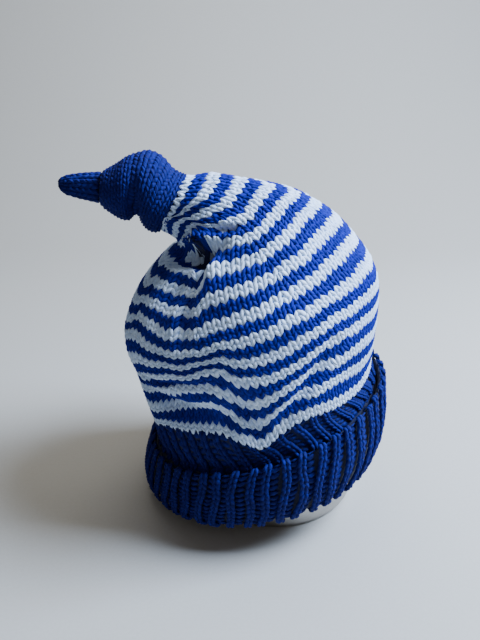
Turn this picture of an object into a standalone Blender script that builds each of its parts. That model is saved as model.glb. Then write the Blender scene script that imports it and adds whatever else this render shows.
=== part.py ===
"""Striped knitted nightcap, its tube end knotted, pulled over a plain steel tin.

Metres, +Z up. The origin is the centre of the tin's flat base, and the knot points to -X.
The cap is a stack of rings. Each ring is an ellipse: its long axis lies in the XZ plane and
rises to the right by the ring's tilt, and its short axis is parallel to Y. A bearing runs round
a ring from the right (0 degrees) through the back (90) and the left (180) to the front (270).
"""

import math
from collections import namedtuple

import bmesh
import bpy
from mathutils import Vector
from mathutils.bvhtree import BVHTree

# Driving sizes
KNIT_WALL = 0.003
CLEARANCE = 0.0003

BRIM_WIDTH = 0.1264
BRIM_DEPTH = 0.1240
BRIM_HEIGHT = 0.0336
BRIM_RISE = 0.0050
BRIM_PLIES_GAP = 0.0008
RIBS = 48
RIB_RELIEF = 0.0007
FLOOR_ROOM = 0.0040  # under the low left side of the brim
SIDE_ROOM = 0.0018  # between the tin and the inside of the cap, at the right

COLLAR = 0.0010
CROWN_WIDTH = 0.1316
CROWN_DEPTH = 0.1230
CROWN_RISE = 0.1010
CROWN_LEAN = 0.0420
TUBE_WIDTH = 0.0290
TUBE_DEPTH = 0.0300
STRIPE_PITCH = 0.0120
FOLD_DEPTH = 0.0100
FOLD_REACH = 0.0200

KNOT_LENGTH = 0.0346
KNOT_HEIGHT = 0.0348
KNOT_DEPTH = 0.0340
CREASE_DEPTH = 0.0035
CREASE_REACH = 0.0050

TAIL_LENGTH = 0.0202
TAIL_HEIGHT = 0.0152
TAIL_DEPTH = 0.0125
TAIL_GROOVE = 0.0009
GROOVE_EDGE = 0.75  # the groove lies where the sine of the bearing is above this

TIN_WIDTH = 0.0920
TIN_WALL = 0.0010
TIN_BASE = 0.0012
TIN_EDGE = 0.0030

# Facets
CROWN_SIDES = 56
CROWN_ROWS = 28
BRIM_SIDES = 2 * RIBS
KNOT_SIDES = 28
KNOT_ROWS = 13
TAIL_SIDES = 16
TAIL_ROWS = 9
TIN_SIDES = 48
TIN_EDGE_SIDES = 4
TIN_RIM_PLACES = 224  # where the rim is measured against the crown
FOLD_CORNERS = 3  # round the brim's bottom fold

BRIM_FOOT = BRIM_RISE + CLEARANCE + COLLAR  # from the brim's turned edge to the crown

Ring = namedtuple("Ring", "x z half_width half_depth tilt")

# The brim, from its bottom fold to the crown. up is a share of BRIM_HEIGHT, across a share of
# BRIM_WIDTH and BRIM_DEPTH, and lean a share of BRIM_WIDTH; tilt is in degrees.
BrimRow = namedtuple("BrimRow", "name up lean across tilt")
BRIM_ROWS = (
    BrimRow("fold", 0.00, 0.019, 0.960, 10.5),
    BrimRow("low", 0.30, 0.009, 0.995, 13.0),
    BrimRow("middle", 0.60, 0.005, 1.000, 16.0),
    BrimRow("turned edge", 1.00, 0.000, 0.955, 19.0),
)
# Where the brim's faces have corners between its fold and its edge, in shares of BRIM_HEIGHT
STRAIGHT_FROM = 0.10
OUTER_LEVELS = (STRAIGHT_FROM, 0.35, 0.70)
INNER_LEVELS = (0.55, STRAIGHT_FROM)
EDGE_ROUNDING = 0.33  # of the wall, at the turned edge

# The crown from the brim to the tube's end, a row for each white stripe. stripe counts the
# white stripes. up is a share of CROWN_RISE and lean of CROWN_LEAN. width and depth run from
# the tube's, 0, to the crown's own, 1, and brim says how far the brim's edge sets them instead.
# tilt is in degrees.
CrownRow = namedtuple("CrownRow", "name stripe up lean width depth brim tilt")
CROWN_TABLE = (
    CrownRow("above the brim", 0.62, 0.000, 0.000, 0.89, 0.93, 1.0, BRIM_ROWS[-1].tilt),
    CrownRow("first white", 1, 0.035, 0.012, 0.890, 0.940, 0.8, 18.8),
    CrownRow("second white", 2, 0.150, 0.033, 0.928, 0.968, 0.2, 18.7),
    CrownRow("third white", 3, 0.242, 0.064, 0.969, 0.985, 0.0, 18.7),
    CrownRow("fourth white", 4, 0.342, 0.100, 0.992, 1.000, 0.0, 18.8),
    CrownRow("widest", 5, 0.444, 0.138, 1.000, 0.990, 0.0, 18.6),
    CrownRow("sixth white", 6, 0.560, 0.195, 0.961, 0.945, 0.0, 17.6),
    CrownRow("shoulder", 7, 0.661, 0.262, 0.864, 0.815, 0.0, 18.0),
    CrownRow("eighth white", 8, 0.748, 0.314, 0.752, 0.680, 0.0, 20.2),
    CrownRow("ninth white", 9, 0.829, 0.362, 0.608, 0.510, 0.0, 24.0),
    CrownRow("tenth white", 10, 0.901, 0.400, 0.435, 0.350, 0.0, 27.5),
    CrownRow("neck of the tube", 11, 0.955, 0.460, 0.244, 0.235, 0.0, 34.5),
    CrownRow("tube", 12, 0.985, 0.627, 0.142, 0.140, 0.0, 44.0),
    CrownRow("tube near its end", 13, 1.004, 0.817, 0.078, 0.070, 0.0, 54.0),
    CrownRow("end of the tube", 13.9, 1.000, 1.000, 0.000, 0.000, 0.0, 62.0),
)

# The crown's folds. Each runs from one bearing and stripe to another; depth is a share of
# FOLD_DEPTH, negative where the cloth bulges, and reach a share of FOLD_REACH.
Fold = namedtuple("Fold", "name bearing stripe to_bearing to_stripe depth reach")
ENDS_DEPTH = 0.4  # how deep a fold still is at its two ends, as a share of its middle
CROWN_FOLDS = (
    Fold("pocket under the tube", 212, 10.6, 258, 10.0, 1.00, 0.55),
    Fold("lip over the pocket", 215, 11.9, 266, 11.0, -0.30, 0.45),
    Fold("valley below the pocket", 238, 9.6, 226, 7.4, 0.45, 0.55),
    Fold("undercut at the left", 200, 3.5, 252, 2.6, 1.00, 0.80),
    Fold("bulge over the undercut", 195, 6.0, 240, 5.3, -0.28, 0.90),
    Fold("crease down the front", 262, 3.9, 270, 0.9, 0.30, 0.45),
    Fold("slanting fold at the right", 276, 1.4, 304, 4.4, 0.35, 0.40),
    Fold("pleat on the tube", 240, 11.4, 290, 10.4, 0.22, 0.22),
    Fold("slump at the back left", 118, 2.4, 165, 3.6, 0.60, 0.80),
    Fold("dent at the back right", 48, 5.2, 84, 3.0, 0.35, 0.70),
    Fold("pocket at the back of the tube", 100, 10.2, 150, 10.6, 0.70, 0.45),
)

# The knot from the crown's end. along and up are shares of KNOT_LENGTH; height and depth are
# shares of KNOT_HEIGHT and KNOT_DEPTH. The two lobes are the tube's turns round itself.
LobeRow = namedtuple("LobeRow", "name along up height depth tilt")
KNOT_TABLE = (
    LobeRow("at the crown", 0.00, 0.000, 0.83, 0.84, 62.0),
    LobeRow("right lobe, start", 0.14, 0.040, 0.89, 0.93, 69.0),
    LobeRow("right lobe, widest", 0.27, 0.150, 1.00, 1.00, 75.0),
    LobeRow("right lobe, far side", 0.40, 0.232, 0.97, 0.98, 81.0),
    LobeRow("between the lobes", 0.51, 0.248, 0.87, 0.88, 86.0),
    LobeRow("left lobe", 0.64, 0.212, 0.83, 0.90, 88.0),
    LobeRow("left lobe, narrowing", 0.79, 0.190, 0.68, 0.80, 88.0),
    LobeRow("left lobe, end", 0.93, 0.188, 0.55, 0.64, 86.0),
    LobeRow("at the tail", 1.00, 0.200, 0.44, 0.48, 84.0),
)
KNOT_CREASES = (
    Fold("front, under the top", 268, 0.51, 180, 0.49, 1.00, 1.00),
    Fold("back, across", 40, 0.28, 130, 0.66, 1.00, 1.10),
    Fold("underside", 180, 0.49, 130, 0.66, 0.90, 1.00),
)

# The tail from the knot to its closed end, in shares of TAIL_LENGTH, TAIL_HEIGHT and TAIL_DEPTH.
TAIL_TABLE = (
    LobeRow("root", 0.00, 0.000, 1.00, 1.00, 84.0),
    LobeRow("middle", 0.32, 0.030, 0.90, 0.95, 85.0),
    LobeRow("narrowing", 0.64, 0.050, 0.74, 0.84, 89.0),
    LobeRow("before the tip", 0.87, 0.065, 0.55, 0.66, 87.0),
    LobeRow("tip", 1.00, 0.100, 0.20, 0.30, 88.0),
)

Finish = namedtuple("Finish", "red green blue roughness metallic")
BLUE_WOOL = Finish(0.010, 0.055, 0.380, 0.90, 0.0)
STRIPED_WOOL = Finish(0.200, 0.260, 0.520, 0.90, 0.0)
STEEL = Finish(0.560, 0.550, 0.540, 0.28, 1.0)


def smooth_between(table, position, key):
    """Every number column of the table at this position, on a smooth curve through its rows."""
    places = [getattr(row, key) for row in table]
    last = len(places) - 2
    i = max(0, min(last, sum(1 for place in places[1:-1] if place <= position)))
    t = (position - places[i]) / (places[i + 1] - places[i])
    columns = [name for name in table[0]._fields if name != "name"]

    def value(column):
        near = [getattr(table[max(0, min(last + 1, i + k))], column) for k in (-1, 0, 1, 2)]
        span = places[i + 1] - places[i]
        before = places[i + 1] - places[max(0, i - 1)]
        after = places[min(last + 1, i + 2)] - places[i]
        slope_in = (near[2] - near[0]) / before * span
        slope_out = (near[3] - near[1]) / after * span
        return (
            near[1] * (2 * t**3 - 3 * t**2 + 1)
            + slope_in * (t**3 - 2 * t**2 + t)
            + near[2] * (3 * t**2 - 2 * t**3)
            + slope_out * (t**3 - t**2)
        )

    return {column: value(column) for column in columns}


def on_ring(ring, bearing, out=0.0):
    """The point of a ring at a bearing in radians, moved out from the ring's centre."""
    across = (ring.half_width + out) * math.cos(bearing)
    tilt = math.radians(ring.tilt)
    return Vector(
        (
            ring.x + across * math.cos(tilt),
            (ring.half_depth + out) * math.sin(bearing),
            ring.z + across * math.sin(tilt),
        )
    )


def ring_axis(ring):
    """The direction square to a ring, towards the knot."""
    tilt = math.radians(ring.tilt)
    return Vector((-math.sin(tilt), 0.0, math.cos(tilt)))


def brim_ring(up):
    """The ring of the brim's inner ply, on its outer side, at this share of the brim's height."""
    share = min(1.0, max(0.0, up))
    row = smooth_between(BRIM_ROWS, share, "up")
    ring = Ring(
        brim_x() - row["lean"] * BRIM_WIDTH,
        brim_floor() + share * BRIM_HEIGHT,
        row["across"] * BRIM_WIDTH / 2,
        row["across"] * BRIM_DEPTH / 2,
        row["tilt"],
    )
    return moved_ring(ring, (up - share) * BRIM_HEIGHT)


def moved_ring(ring, distance):
    """The same ring further along its own axis."""
    shift = ring_axis(ring) * distance
    return ring._replace(x=ring.x + shift.x, z=ring.z + shift.z)


def brim_x():
    """The cap leans against the tin: the tighter of its crown and its brim's edge clears the
    tin's right side."""
    edge = BRIM_ROWS[-1]
    widest = max(CROWN_TABLE, key=lambda row: row.width)
    crown_half = CROWN_WIDTH / 2 * math.cos(math.radians(widest.tilt))
    brim_half = edge.across * BRIM_WIDTH / 2 * math.cos(math.radians(edge.tilt))
    crown_right = crown_half - widest.lean * CROWN_LEAN
    brim_right = brim_half - edge.lean * BRIM_WIDTH - RIB_RELIEF
    foot = BRIM_FOOT * math.sin(math.radians(edge.tilt))
    return TIN_WIDTH / 2 + SIDE_ROOM + KNIT_WALL + foot - min(crown_right, brim_right)


def brim_floor():
    """The height of the bottom fold's centre, so that its low left side clears the floor."""
    low = BRIM_ROWS[0].across * BRIM_WIDTH / 2 + KNIT_WALL + BRIM_PLIES_GAP
    return FLOOR_ROOM + low * math.sin(math.radians(BRIM_ROWS[0].tilt)) + KNIT_WALL


def crown_ring(stripe):
    """The crown's ring at this stripe. It starts on the brim's inner ply."""
    row = smooth_between(CROWN_TABLE, stripe, "stripe")
    foot = crown_foot()
    edge = brim_ring(1.0)
    half_width = (TUBE_WIDTH + row["width"] * (CROWN_WIDTH - TUBE_WIDTH)) / 2
    half_depth = (TUBE_DEPTH + row["depth"] * (CROWN_DEPTH - TUBE_DEPTH)) / 2
    return Ring(
        foot.x - row["lean"] * CROWN_LEAN,
        foot.z + row["up"] * CROWN_RISE,
        half_width + row["brim"] * (edge.half_width - half_width),
        half_depth + row["brim"] * (edge.half_depth - half_depth),
        row["tilt"],
    )


def crown_foot():
    """The centre of the crown's lowest ring, past a straight collar that stands on the brim."""
    edge = brim_ring(1.0)
    return Vector((edge.x, 0.0, edge.z)) + ring_axis(edge) * BRIM_FOOT


def fold_depth(folds, bearing, row, half_width, pitch, deepest, widest_reach):
    """How far the cloth sinks here: each fold is a soft valley along its own line."""
    total = 0.0
    for fold in folds:
        turn = (math.degrees(bearing) - fold.bearing + 180) % 360 - 180
        here = (math.radians(turn) * half_width, (row - fold.stripe) * pitch)
        way = (
            math.radians(fold.to_bearing - fold.bearing) * half_width,
            (fold.to_stripe - fold.stripe) * pitch,
        )
        length = way[0] ** 2 + way[1] ** 2
        share = (here[0] * way[0] + here[1] * way[1]) / length
        share = max(0.0, min(1.0, share))
        off = math.hypot(here[0] - share * way[0], here[1] - share * way[1])
        reach = fold.reach * widest_reach
        if off < reach:
            along = ENDS_DEPTH + (1 - ENDS_DEPTH) * math.sin(math.pi * share)
            total += fold.depth * deepest * along * (1 + math.cos(math.pi * off / reach)) / 2
    return total


def folded(ring_at, row, bearing, depth_at):
    """A point of the lofted skin, moved inwards along the skin's normal by its folds."""
    step_row, step_bearing = 0.02, 0.01
    here = on_ring(ring_at(row), bearing)
    along = on_ring(ring_at(row + step_row), bearing) - on_ring(ring_at(row - step_row), bearing)
    around = on_ring(ring_at(row), bearing + step_bearing) - here
    outward = around.cross(along).normalized()
    return here - outward * depth_at(bearing, row)


def crown_point(stripe, bearing):
    def depth_at(turn, row):
        half_width = crown_ring(row).half_width
        above_brim = min(1.0, max(0.0, row - first))
        return above_brim * fold_depth(
            CROWN_FOLDS, turn, row, half_width, STRIPE_PITCH, FOLD_DEPTH, FOLD_REACH
        )

    first, last = CROWN_TABLE[0].stripe, CROWN_TABLE[-1].stripe

    def ring_at(row):
        return crown_ring(min(last, max(first, row)))

    return folded(ring_at, stripe, bearing, depth_at)


def lobe_ring(table, start, length, height, depth, along):
    """A ring of the knot or the tail, which both run to the left from their start."""
    row = smooth_between(table, along, "along")
    return Ring(
        start.x - along * length,
        start.z + row["up"] * length,
        row["height"] * height / 2,
        row["depth"] * depth / 2,
        row["tilt"],
    )


def knot_start():
    """Just past the end of the crown's tube, straight on along the tube."""
    end = crown_ring(CROWN_TABLE[-1].stripe)
    return Vector((end.x, 0.0, end.z)) + ring_axis(end) * (COLLAR + CLEARANCE)


def knot_ring(along):
    share = min(1.0, max(0.0, along))
    return lobe_ring(KNOT_TABLE, knot_start(), KNOT_LENGTH, KNOT_HEIGHT, KNOT_DEPTH, share)


def knot_point(along, bearing):
    def depth_at(turn, share):
        half = knot_ring(share).half_width
        return fold_depth(
            KNOT_CREASES, turn, share, half, KNOT_LENGTH, CREASE_DEPTH, CREASE_REACH
        )

    return folded(knot_ring, along, bearing, depth_at)


def tail_start():
    end = knot_ring(1.0)
    return Vector((end.x - CLEARANCE, 0.0, end.z))


def tail_ring(along):
    share = min(1.0, max(0.0, along))
    return lobe_ring(TAIL_TABLE, tail_start(), TAIL_LENGTH, TAIL_HEIGHT, TAIL_DEPTH, share)


def tail_point(along, bearing):
    """The tail's skin, with the groove that runs along its front and its back."""
    share = max(0.0, abs(math.sin(bearing)) - GROOVE_EDGE) / (1.0 - GROOVE_EDGE)
    return on_ring(tail_ring(along), bearing, -TAIL_GROOVE * share)


def brim_profile():
    """The brim cut through, as (up, out) from the inner ply's outer side, counter-clockwise:
    up the outer ply's face, over its turned edge, down between the plies and up the inner ply,
    then down the inside and round the bottom fold."""
    outer = BRIM_PLIES_GAP + KNIT_WALL
    top = 1.0 + BRIM_RISE / BRIM_HEIGHT
    round_off = EDGE_ROUNDING * KNIT_WALL
    edge = round_off / BRIM_HEIGHT
    seat = KNIT_WALL / BRIM_HEIGHT
    face = [(level, outer) for level in OUTER_LEVELS]
    turned_edge = [
        (1.0 - edge, outer),
        (1.0, outer - round_off),
        (1.0, BRIM_PLIES_GAP + round_off),
        (1.0 - edge, BRIM_PLIES_GAP),
    ]
    between = [(seat, BRIM_PLIES_GAP), (seat, 0.0), (top, 0.0), (top, -KNIT_WALL)]
    inside = [(level, -KNIT_WALL) for level in INNER_LEVELS]
    fold = []
    for k in range(1, FOLD_CORNERS + 1):
        turn = math.pi * k / (FOLD_CORNERS + 1)
        middle = (outer - KNIT_WALL) / 2
        fold.append((-seat * math.sin(turn), middle - (outer + KNIT_WALL) / 2 * math.cos(turn)))
    return face + turned_edge + between + inside + fold


def rib_relief(turn, out):
    """Ribs stand proud on the outer ply's face and round the fold, and inwards on the inside."""
    wave = RIB_RELIEF * math.cos(RIBS * turn)
    if out > BRIM_PLIES_GAP + KNIT_WALL / 2:
        return wave
    if out < -KNIT_WALL / 2:
        return -wave
    return 0.0


def brim_point(up, out, turn):
    ring = brim_ring(up)
    return on_ring(ring, turn, out + rib_relief(turn, out))


def new_material(name, finish):
    material = bpy.data.materials.new(name)
    material.use_nodes = True
    shader = material.node_tree.nodes["Principled BSDF"]
    colour = (finish.red, finish.green, finish.blue, 1.0)
    shader.inputs["Base Color"].default_value = colour
    shader.inputs["Roughness"].default_value = finish.roughness
    shader.inputs["Metallic"].default_value = finish.metallic
    material.diffuse_color = colour
    return material


def add_object(name, bm, place, material, collection, parent):
    """A smooth-shaded object whose mesh is measured from its own place."""
    bmesh.ops.translate(bm, verts=bm.verts, vec=-place)
    bmesh.ops.recalc_face_normals(bm, faces=bm.faces)
    mesh = bpy.data.meshes.new(name)
    bm.to_mesh(mesh)
    bm.free()
    mesh.shade_smooth()
    mesh.materials.append(material)
    obj = bpy.data.objects.new(name, mesh)
    collection.objects.link(obj)
    obj.parent = parent
    obj.location = place
    return obj


def loft(loops, closed_on_itself=False):
    """A skin bridged through loops of points, each with the same count."""
    bm = bmesh.new()
    rows = [[bm.verts.new(point) for point in loop] for loop in loops]
    pairs = list(zip(rows, rows[1:]))
    if closed_on_itself:
        pairs.append((rows[-1], rows[0]))
    for low, high in pairs:
        for k, corner in enumerate(low):
            ahead = (k + 1) % len(low)
            bm.faces.new((corner, low[ahead], high[ahead], high[k]))
    return bm, rows


def turns(sides):
    return [2 * math.pi * k / sides for k in range(sides)]


def add_crown(material, collection, parent):
    """An open skin through the stripes' rings, thickened inwards into a knitted wall. A short
    straight collar at each end keeps the wall's rim flat against the brim and the knot."""
    first, last = CROWN_TABLE[0].stripe, CROWN_TABLE[-1].stripe
    stripes = [first + (last - first) * k / CROWN_ROWS for k in range(CROWN_ROWS + 1)]
    sides = turns(CROWN_SIDES)
    loops = [[crown_point(stripe, turn) for turn in sides] for stripe in stripes]
    foot = moved_ring(crown_ring(first), -COLLAR)
    end = moved_ring(crown_ring(last), COLLAR)
    loops[0:1] = [[on_ring(foot, turn) for turn in sides], loops[0]]
    loops.append([on_ring(end, turn) for turn in sides])
    bm, _ = loft(loops)
    crown = add_object("crown", bm, crown_foot(), material, collection, parent)
    wall = crown.modifiers.new("knitted wall", "SOLIDIFY")
    wall.thickness = KNIT_WALL
    wall.offset = -1.0
    wall.use_even_offset = False
    return crown


def add_brim(material, collection, parent):
    """The brim's profile carried round at two corners for each rib, crest and furrow."""
    sides = turns(BRIM_SIDES)
    loops = [[brim_point(up, out, turn) for turn in sides] for up, out in brim_profile()]
    bm, _ = loft(loops, closed_on_itself=True)
    foot = brim_ring(0.0)
    place = Vector((foot.x, 0.0, foot.z))
    return add_object("brim", bm, place, material, collection, parent)


def add_lobed(name, point_at, place, sides, rows, material, collection, parent):
    """A closed skin along the knot or the tail, with a flat face at each end."""
    loops = [[point_at(k / rows, turn) for turn in turns(sides)] for k in range(rows + 1)]
    bm, skins = loft(loops)
    bm.faces.new(skins[0])
    bm.faces.new(skins[-1])
    return add_object(name, bm, place, material, collection, parent)


def rim_height(crown):
    """The height at which the tin's rim meets the inside of the crown, less the clearance."""
    bpy.context.view_layer.update()
    graph = bpy.context.evaluated_depsgraph_get()
    skin = BVHTree.FromObject(crown.evaluated_get(graph), graph)
    to_skin = crown.matrix_world.inverted()
    up = Vector((0.0, 0.0, 1.0))
    start = crown_ring(CROWN_TABLE[0].stripe).z
    lowest = math.inf
    for radius in (TIN_WIDTH / 2, TIN_WIDTH / 2 - TIN_WALL):
        for turn in turns(TIN_RIM_PLACES):
            below = Vector((radius * math.cos(turn), radius * math.sin(turn), start))
            hit = skin.ray_cast(to_skin @ below, up)[0]
            if hit is not None:
                lowest = min(lowest, (crown.matrix_world @ hit).z)
    return lowest - CLEARANCE - TIN_WALL / 2


def add_stand(height, material, collection):
    """A tin turned from its profile: a flat base, a small round edge, a thin wall, a flat rim."""
    radius = TIN_WIDTH / 2
    bm = bmesh.new()
    outside = [(radius, height)]
    for k in range(TIN_EDGE_SIDES + 1):
        turn = math.pi / 2 * k / TIN_EDGE_SIDES
        outside.append(
            (
                radius - TIN_EDGE + TIN_EDGE * math.cos(turn),
                TIN_EDGE - TIN_EDGE * math.sin(turn),
            )
        )
    outside.append((0.0, 0.0))
    inside = [(0.0, TIN_BASE), (radius - TIN_EDGE, TIN_BASE)]
    inside += [(radius - TIN_WALL, TIN_EDGE), (radius - TIN_WALL, height)]
    corners = [bm.verts.new((x, 0.0, z)) for x, z in outside + inside]
    for a, b in zip(corners, corners[1:] + corners[:1]):
        if a.co.x > 0 or b.co.x > 0:
            bm.edges.new((a, b))
    mesh = bpy.data.meshes.new("stand")
    bm.to_mesh(mesh)
    bm.free()
    mesh.materials.append(material)
    stand = bpy.data.objects.new("stand", mesh)
    collection.objects.link(stand)
    turned = stand.modifiers.new("turned", "SCREW")
    turned.axis = "Z"
    turned.steps = TIN_SIDES
    turned.render_steps = TIN_SIDES
    turned.use_merge_vertices = True
    turned.merge_threshold = 0.00001
    turned.use_smooth_shade = True
    return stand


def clear_scene():
    for obj in list(bpy.data.objects):
        bpy.data.objects.remove(obj, do_unlink=True)


def main():
    clear_scene()
    collection = bpy.data.collections.new("nightcap")
    bpy.context.scene.collection.children.link(collection)
    cap = bpy.data.objects.new("cap", None)
    collection.objects.link(cap)
    blue = new_material("blue wool", BLUE_WOOL)
    striped = new_material("striped wool", STRIPED_WOOL)
    steel = new_material("brushed steel", STEEL)

    crown = add_crown(striped, collection, cap)
    add_brim(blue, collection, cap)
    add_lobed("knot", knot_point, knot_start(), KNOT_SIDES, KNOT_ROWS, blue, collection, cap)
    add_lobed("tail", tail_point, tail_start(), TAIL_SIDES, TAIL_ROWS, blue, collection, cap)
    add_stand(rim_height(crown), steel, collection)


main()
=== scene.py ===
"""Looks of a striped knitted nightcap with a knotted end, pulled over a plain steel tin.

Metres, +Z up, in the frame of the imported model: the origin is the centre of the tin's base,
the knot points to -X and the camera looks along +Y. The cap's skin is a stack of rings, as in
the solids. A stitch is a small closed length of yarn that is laid on that skin many times, row
by row and column by column, the way the cap is knitted.
"""

import math
from collections import namedtuple

import bmesh
import bpy
import numpy as np
from bpy.props import FloatProperty, IntProperty, PointerProperty
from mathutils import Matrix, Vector


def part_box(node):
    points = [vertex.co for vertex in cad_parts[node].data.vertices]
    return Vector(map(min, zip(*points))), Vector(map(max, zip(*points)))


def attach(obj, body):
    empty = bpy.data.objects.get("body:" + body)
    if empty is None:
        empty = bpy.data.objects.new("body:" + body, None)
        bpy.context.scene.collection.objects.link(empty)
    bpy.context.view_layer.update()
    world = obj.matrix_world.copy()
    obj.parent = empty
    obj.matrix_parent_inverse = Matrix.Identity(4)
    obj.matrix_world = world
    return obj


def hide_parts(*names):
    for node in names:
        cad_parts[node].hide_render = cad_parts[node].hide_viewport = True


bl_info = {
    "name": "Knitted nightcap on a tin",
    "version": (1, 0, 0),
    "blender": (4, 5, 0),
    "location": "3D View > Sidebar > Nightcap",
    "description": "Yarn, ribs, stripes and knot of a knitted nightcap, and the steel tin "
    "that holds it up",
    "category": "Object",
}

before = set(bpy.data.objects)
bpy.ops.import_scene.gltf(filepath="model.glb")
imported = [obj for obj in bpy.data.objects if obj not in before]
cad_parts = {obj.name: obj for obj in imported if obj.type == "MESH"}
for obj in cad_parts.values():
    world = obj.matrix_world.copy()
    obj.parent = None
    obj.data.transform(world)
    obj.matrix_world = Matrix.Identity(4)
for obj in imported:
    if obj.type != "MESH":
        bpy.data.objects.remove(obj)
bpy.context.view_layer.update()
TIN_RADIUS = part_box("stand")[1].x  # the tin stands on the origin
TURN = 2 * math.pi

# Sizes of the solids, repeated so that the yarn follows the same skin
KNIT_WALL = 0.003
CLEARANCE = 0.0003
BRIM_WIDTH = 0.1264
BRIM_DEPTH = 0.1240
BRIM_HEIGHT = 0.0336
BRIM_RISE = 0.0050
BRIM_PLIES_GAP = 0.0008
FLOOR_ROOM = 0.0040
SIDE_ROOM = 0.0018
RIB_RELIEF = 0.0007
COLLAR = 0.0010
BRIM_FOOT = BRIM_RISE + CLEARANCE + COLLAR
CROWN_WIDTH = 0.1316
CROWN_DEPTH = 0.1230
CROWN_RISE = 0.1010
CROWN_LEAN = 0.0420
TUBE_WIDTH = 0.0290
TUBE_DEPTH = 0.0300
STRIPE_PITCH = 0.0120
FOLD_DEPTH = 0.0100
FOLD_REACH = 0.0200
KNOT_LENGTH = 0.0346
KNOT_HEIGHT = 0.0348
KNOT_DEPTH = 0.0340
CREASE_DEPTH = 0.0035
CREASE_REACH = 0.0050
TAIL_LENGTH = 0.0202
TAIL_HEIGHT = 0.0152
TAIL_DEPTH = 0.0125
TAIL_GROOVE = 0.0009
GROOVE_EDGE = 0.75  # sine of the bearing where a groove of the tail starts
STRAIGHT_FROM = 0.10  # share of the brim's height where its plies are straight

Ring = namedtuple("Ring", "x z half_width half_depth tilt")


def table(kind, *rows):
    """A table whose rows are all of one kind."""
    return tuple(kind(*row) for row in rows)


BrimRow = namedtuple("BrimRow", "name up lean across tilt")
BRIM_ROWS = table(
    BrimRow,
    ("fold", 0.0, 0.019, 0.96, 10.5),
    ("low", 0.3, 0.009, 0.995, 13.0),
    ("middle", 0.6, 0.005, 1.0, 16.0),
    ("turned edge", 1.0, 0.0, 0.955, 19.0),
)

CrownRow = namedtuple("CrownRow", "name stripe up lean width depth brim tilt")
CROWN_TABLE = table(
    CrownRow,
    ("above the brim", 0.62, 0.0, 0.0, 0.89, 0.93, 1.0, BRIM_ROWS[-1].tilt),
    ("first white", 1, 0.035, 0.012, 0.89, 0.94, 0.8, 18.8),
    ("second white", 2, 0.15, 0.033, 0.928, 0.968, 0.2, 18.7),
    ("third white", 3, 0.242, 0.064, 0.969, 0.985, 0.0, 18.7),
    ("fourth white", 4, 0.342, 0.1, 0.992, 1.0, 0.0, 18.8),
    ("widest", 5, 0.444, 0.138, 1.0, 0.99, 0.0, 18.6),
    ("sixth white", 6, 0.56, 0.195, 0.961, 0.945, 0.0, 17.6),
    ("shoulder", 7, 0.661, 0.262, 0.864, 0.815, 0.0, 18.0),
    ("eighth white", 8, 0.748, 0.314, 0.752, 0.68, 0.0, 20.2),
    ("ninth white", 9, 0.829, 0.362, 0.608, 0.51, 0.0, 24.0),
    ("tenth white", 10, 0.901, 0.4, 0.435, 0.35, 0.0, 27.5),
    ("neck of the tube", 11, 0.955, 0.46, 0.244, 0.235, 0.0, 34.5),
    ("tube", 12, 0.985, 0.627, 0.142, 0.14, 0.0, 44.0),
    ("tube near its end", 13, 1.004, 0.817, 0.078, 0.07, 0.0, 54.0),
    ("end of the tube", 13.9, 1.0, 1.0, 0.0, 0.0, 0.0, 62.0),
)

Fold = namedtuple("Fold", "name bearing stripe to_bearing to_stripe depth reach")
ENDS_DEPTH = 0.4  # how deep a fold is at its ends, as a share
CROWN_FOLDS = table(
    Fold,
    ("pocket under the tube", 212, 10.6, 258, 10.0, 1.0, 0.55),
    ("lip over the pocket", 215, 11.9, 266, 11.0, -0.3, 0.45),
    ("valley below the pocket", 238, 9.6, 226, 7.4, 0.45, 0.55),
    ("undercut at the left", 200, 3.5, 252, 2.6, 1.0, 0.8),
    ("bulge over the undercut", 195, 6.0, 240, 5.3, -0.28, 0.9),
    ("crease down the front", 262, 3.9, 270, 0.9, 0.3, 0.45),
    ("slanting fold at the right", 276, 1.4, 304, 4.4, 0.35, 0.4),
    ("pleat on the tube", 240, 11.4, 290, 10.4, 0.22, 0.22),
    ("slump at the back left", 118, 2.4, 165, 3.6, 0.6, 0.8),
    ("dent at the back right", 48, 5.2, 84, 3.0, 0.35, 0.7),
    ("pocket at the back of the tube", 100, 10.2, 150, 10.6, 0.7, 0.45),
)

LobeRow = namedtuple("LobeRow", "name along up height depth tilt")
KNOT_TABLE = table(
    LobeRow,
    ("at the crown", 0.0, 0.0, 0.83, 0.84, 62.0),
    ("right lobe, start", 0.14, 0.04, 0.89, 0.93, 69.0),
    ("right lobe, widest", 0.27, 0.15, 1.0, 1.0, 75.0),
    ("right lobe, far side", 0.4, 0.232, 0.97, 0.98, 81.0),
    ("between the lobes", 0.51, 0.248, 0.87, 0.88, 86.0),
    ("left lobe", 0.64, 0.212, 0.83, 0.9, 88.0),
    ("left lobe, narrowing", 0.79, 0.19, 0.68, 0.8, 88.0),
    ("left lobe, end", 0.93, 0.188, 0.55, 0.64, 86.0),
    ("at the tail", 1.0, 0.2, 0.44, 0.48, 84.0),
)
KNOT_CREASES = table(
    Fold,
    ("front, under the top", 268, 0.51, 180, 0.49, 1.0, 1.0),
    ("back, across", 40, 0.28, 130, 0.66, 1.0, 1.1),
    ("underside", 180, 0.49, 130, 0.66, 0.9, 1.0),
)
TAIL_TABLE = table(
    LobeRow,
    ("root", 0.0, 0.0, 1.0, 1.0, 84.0),
    ("middle", 0.32, 0.03, 0.9, 0.95, 85.0),
    ("narrowing", 0.64, 0.05, 0.74, 0.84, 89.0),
    ("before the tip", 0.87, 0.065, 0.55, 0.66, 87.0),
    ("tip", 1.0, 0.1, 0.2, 0.3, 88.0),
)

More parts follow.
